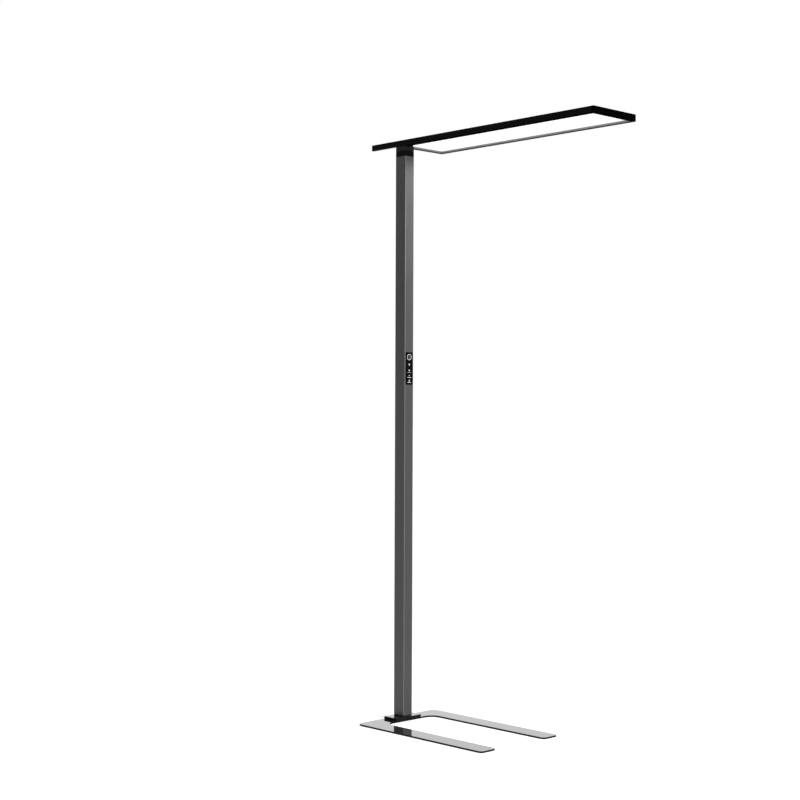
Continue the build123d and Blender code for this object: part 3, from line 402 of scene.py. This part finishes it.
def sheath(name):
    """Wire jacket: soft black vinyl with faint rings from the extruder."""
    s = Surface(name, IOR=1.5, Specular_IOR_Level=0.35)
    cloud = s.noise(120.0, 3.0)
    s.colour(s.colours(cloud, (0.3, grey(0.016)), (0.7, grey(0.030))))
    s.roughness(s.spread(cloud, 0.3, 0.7, 0.48, 0.62))
    s.bump(s.noise(2400.0, 2.0), 0.15, 0.00005)
    return s.material


looks = {
    "plate_lacquer": lacquer("plate_lacquer_look", 0.0035, 0.035),
    "foot_lacquer": lacquer("foot_lacquer_look", 0.0035, 0.045),
    "pole_black": anodised(
        "pole_black_look",
        grey(0.013),
        grey(0.022, (1.0, 0.985, 0.97)),
        0.38,
        0.66,
        "z",
        painted_highlight_corners=(0.026, 0.021),
    ),
    "frame_black": anodised(
        "frame_black_look", grey(0.0014), grey(0.0026), 0.42, 0.035, "x", 0.02, lip=True
    ),
    "neck_black": anodised(
        "neck_black_look", grey(0.012), grey(0.018), 0.50, 0.02, "x", 0.02
    ),
    # The collar under the head: black plastic, made darker still as painted shade on its face towards the lit side.
    "collar_black": moulded(
        "collar_black_painted_shade_look", grey(0.0045), grey(0.0065), 0.60, 0.004
    ),
    # The head's right end: a darker copy of the frame's black, painted shade for that end face.
    "end_black": moulded(
        "end_black_painted_shade_look", grey(0.0008), grey(0.0014), 0.70, 0.002, lip=True
    ),
    "rubber_black": moulded(
        "rubber_black_look", grey(0.006), grey(0.012), 0.72, 0.20, 0.5, 900.0
    ),
    "alloy": machined("alloy_look", grey(0.55), grey(0.78, (1.0, 1.0, 1.01)), 0.34),
    "steel": machined(
        "steel_look", grey(0.42), grey(0.66, (0.99, 1.0, 1.02)), 0.30, 3200.0
    ),
    "steel_black": machined(
        "steel_black_look", grey(0.012), grey(0.032), 0.38, 3000.0, worn=0.08
    ),
    "brass_pin": machined(
        "brass_pin_look", (0.62, 0.44, 0.17), (0.86, 0.68, 0.33), 0.24, 3000.0
    ),
    "strip_gloss": moulded(
        "strip_gloss_look", grey(0.0010), grey(0.0018), 0.20, 0.03, 0.03, 700.0
    ),
    "key_gloss": moulded(
        "key_gloss_look", grey(0.0011), grey(0.0020), 0.22, 0.035, 0.03, 700.0
    ),
    "board_green": board(
        "board_green_look", (0.012, 0.085, 0.035), (0.022, 0.15, 0.06), 0.36
    ),
    "board_white": board("board_white_look", grey(0.78), grey(0.86), 0.40),
    "chip_white": moulded(
        "chip_white_look", (0.82, 0.72, 0.30), (0.90, 0.82, 0.42), 0.30, 0.5, 0.05
    ),
    "plastic_white": moulded("plastic_white_look", grey(0.82), grey(0.88), 0.45, 0.5),
    "opal": opal("opal_look"),
    "plastic_black": moulded(
        "plastic_black_look", grey(0.012), grey(0.022), 0.48, 0.40
    ),
    "wire_sheath": sheath("wire_sheath_look"),
}

for node in nodes.values():
    for i, old in enumerate(node.data.materials):
        node.data.materials[i] = looks[old.name.split(".")[0]]


# ---------------------------------------------------------------- marks on the keys
def flat_shape(name, outlines, x0, x1):
    """Closed (y, z) outlines in millimetres, filled by even-odd and raised from x0 to x1, as a mesh."""
    curve = bpy.data.curves.new(name, "CURVE")
    curve.dimensions = "2D"
    curve.fill_mode = "BOTH"
    curve.extrude = (x1 - x0) / 2 * 1e-3
    for outline in outlines:
        spline = curve.splines.new("POLY")
        spline.points.add(len(outline) - 1)
        for point, (y, z) in zip(spline.points, outline):
            point.co = (y * 1e-3, z * 1e-3, 0.0, 1.0)
        spline.use_cyclic_u = True
    holder = bpy.data.objects.new(name + "_curve", curve)
    bpy.context.scene.collection.objects.link(holder)
    bpy.context.view_layer.update()
    mesh = bpy.data.meshes.new_from_object(
        holder.evaluated_get(bpy.context.evaluated_depsgraph_get())
    )
    bpy.data.objects.remove(holder)
    bpy.data.curves.remove(curve)
    turn = Matrix(
        ((0, 0, 1, (x0 + x1) / 2 * 1e-3), (1, 0, 0, 0), (0, 1, 0, 0), (0, 0, 0, 1))
    )
    mesh.transform(turn)
    mesh.name = name
    made = bpy.data.objects.new(name, mesh)
    bpy.context.scene.collection.objects.link(made)
    return made


def arc(cy, cz, r, a0, a1, n):
    return [
        (
            cy + r * math.cos(math.radians(a0 + (a1 - a0) * i / n)),
            cz + r * math.sin(math.radians(a0 + (a1 - a0) * i / n)),
        )
        for i in range(n + 1)
    ]


def disc(cy, cz, r, n=40):
    return arc(cy, cz, r, 0, 360, n)[:-1]


def bar(cy, cz, width, height):
    """A dash with round ends."""
    h = height / 2
    w = width / 2 - h
    return arc(cy + w, cz, h, -90, 90, 10) + arc(cy - w, cz, h, 90, 270, 10)


def open_ring(cy, cz, r, stroke, gap):
    """A ring with a gap at the top of gap degrees, with round ends."""
    h = stroke / 2
    a, b = 90 + gap / 2, 450 - gap / 2
    outer = arc(cy, cz, r + h, a, b, 36)
    inner = arc(cy, cz, r - h, b, a, 36)
    end = lambda ang: (
        cy + r * math.cos(math.radians(ang)),
        cz + r * math.sin(math.radians(ang)),
    )
    tip_b = arc(*end(b), h, b, b + 180, 8)[1:-1]
    tip_a = arc(*end(a), h, a + 180, a + 360, 8)[1:-1]
    return outer + tip_b + inner + tip_a


def ray(cy, cz, r0, r1, width, ang):
    """A short round-ended stroke that points away from a centre."""
    c, s = math.cos(math.radians(ang)), math.sin(math.radians(ang))
    local = bar((r0 + r1) / 2, 0, r1 - r0, width)
    return [(cy + y * c - z * s, cz + y * s + z * c) for y, z in local]


def printed(name, base):
    """Pale screen print: chalky, with slightly uneven cover."""
    s = Surface(name, IOR=1.5, Specular_IOR_Level=0.3)
    cover = s.noise(1600.0, 3.0, 0.6)
    s.colour(
        s.colours(cover, (0.25, grey(base * 0.86)), (0.60, grey(base, (1.0, 1.0, 0.99))))
    )
    s.roughness(s.spread(cover, 0.3, 0.7, 0.42, 0.58))
    s.bump(cover, 0.15, 0.00003)
    return s.material


print_bright = printed("print_bright", 0.52)
print_dim = printed("print_dim", 0.26)

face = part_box("power_key")[1].x * 1000.0
marks = [
    ("power_mark_ring", "power_key_cap", print_bright, [disc(0, 1313.4, 10.6, 72), disc(0, 1313.4, 8.9, 72)]),
    ("power_mark_sign", "power_key_cap", print_dim, [open_ring(0, 1313.2, 2.7, 0.75, 70), bar(0, 1315.2, 0.75, 0.75)]),
    ("light_mark_sun", "light_key_cap", print_bright, [disc(0, 1286.4, 2.3)] + [ray(0, 1286.4, 3.1, 4.5, 0.7, a) for a in range(0, 360, 45)]),
    ("tone_mark_dot", "tone_key_cap", print_bright, [disc(0, 1265.4, 2.6)]),
    ("tone_mark_dash", "tone_key_cap", print_dim, [bar(0, 1257.9, 17.0, 1.7)]),
    ("more_mark_dot", "more_key_cap", print_bright, [disc(0, 1246.9, 1.8)]),
    ("more_mark_bar", "more_key_cap", print_bright, [bar(0, 1240.0, 18.0, 1.6)]),
    ("less_mark_dot", "less_key_cap", print_bright, [disc(0, 1228.8, 2.6)]),
    ("less_mark_bar", "less_key_cap", print_bright, [bar(0, 1222.0, 18.0, 1.8)]),
]
for name, body, look, outlines in marks:
    piece = flat_shape(name, outlines, face, face + 0.05)
    piece.data.materials.clear()
    piece.data.materials.append(look)
    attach(piece, body)


# ---------------------------------------------------------------- floor, backdrop and light
def disc_floor(name, radius, rings, spokes):
    verts = [(0.0, 0.0, 0.0)]
    faces = []
    for i in range(1, rings + 1):
        r = radius * (i / rings) ** 2
        for k in range(spokes):
            a = 2 * math.pi * k / spokes
            verts.append((r * math.cos(a), r * math.sin(a), 0.0))
    for k in range(spokes):
        faces.append((0, 1 + k, 1 + (k + 1) % spokes))
    for i in range(1, rings):
        a0, b0 = 1 + (i - 1) * spokes, 1 + i * spokes
        for k in range(spokes):
            j = (k + 1) % spokes
            faces.append((a0 + k, b0 + k, b0 + j, a0 + j))
    mesh = bpy.data.meshes.new(name)
    mesh.from_pydata(verts, [], faces)
    mesh.update()
    made = bpy.data.objects.new(name, mesh)
    bpy.context.scene.collection.objects.link(made)
    return made


floor = disc_floor("studio_floor", 90.0, 12, 48)
paint = Surface("floor_paint", Roughness=0.9, Specular_IOR_Level=0.0)
paint.colour(
    paint.colours(paint.noise(0.6, 3.0), (0.3, grey(0.775)), (0.7, grey(0.785)))
)
floor.data.materials.append(paint.material)

def studio_world():
    """A soft white room: bright behind and above, dim in front, plain white where the camera looks."""
    world = bpy.data.worlds.new("studio")
    world.use_nodes = True
    tree = world.node_tree
    tree.nodes.clear()
    link = tree.links.new

    def math_node(op, a, b):
        m = tree.nodes.new("ShaderNodeMath")
        m.operation = op
        for i, x in enumerate((a, b)):
            if isinstance(x, (int, float)):
                m.inputs[i].default_value = x
            else:
                link(x, m.inputs[i])
        return m.outputs[0]

    aim = tree.nodes.new("ShaderNodeTexCoord").outputs["Generated"]

    def lobe(direction, power, level):
        dot = tree.nodes.new("ShaderNodeVectorMath")
        dot.operation = "DOT_PRODUCT"
        link(aim, dot.inputs[0])
        dot.inputs[1].default_value = Vector(direction).normalized()
        lifted = math_node("MAXIMUM", dot.outputs["Value"], 0.0)
        return math_node("MULTIPLY", math_node("POWER", lifted, power), level)

    total = LIGHT_FLOOR
    for direction, power, level in LIGHT_LOBES:
        total = math_node("ADD", lobe(direction, power, level), total)
    light = tree.nodes.new("ShaderNodeBackground")
    light.inputs["Color"].default_value = (1, 1, 1, 1)
    link(total, light.inputs["Strength"])
    plain = tree.nodes.new("ShaderNodeBackground")
    plain.inputs["Color"].default_value = (1, 1, 1, 1)
    plain.inputs["Strength"].default_value = 1.0
    pick = tree.nodes.new("ShaderNodeMixShader")
    link(tree.nodes.new("ShaderNodeLightPath").outputs["Is Camera Ray"], pick.inputs[0])
    link(light.outputs[0], pick.inputs[1])
    link(plain.outputs[0], pick.inputs[2])
    out = tree.nodes.new("ShaderNodeOutputWorld")
    link(pick.outputs[0], out.inputs["Surface"])
    bpy.context.scene.world = world


LIGHT_FLOOR = 0.30
LIGHT_LOBES = (
    ((0.0, 0.0, 1.0), 1.0, 0.90),
    ((-0.70, 0.69, 0.20), 3.0, 0.77),
    ((0.72, 0.62, 0.60), 8.0, 2.35),
    ((1.0, -0.15, 0.40), 6.0, 0.58),
)
studio_world()

glow = bpy.data.lights.new("panel_glow", "AREA")
glow.shape = "RECTANGLE"
glow.size, glow.size_y = 0.765, 0.18
glow.spread = math.radians(140.0)  # a panel for reading sends little light out flat
glow.energy = 31.0 * math.pi * glow.size * glow.size_y
glow_box = bpy.data.objects.new("panel_glow", glow)
bpy.context.scene.collection.objects.link(glow_box)
glow_box.location = (0.4935, 0.089, 2.0780)
glow_box.visible_camera = False
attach(glow_box, "head")

bpy.context.scene.view_settings.view_transform = "Standard"
bpy.context.scene.view_settings.look = "None"
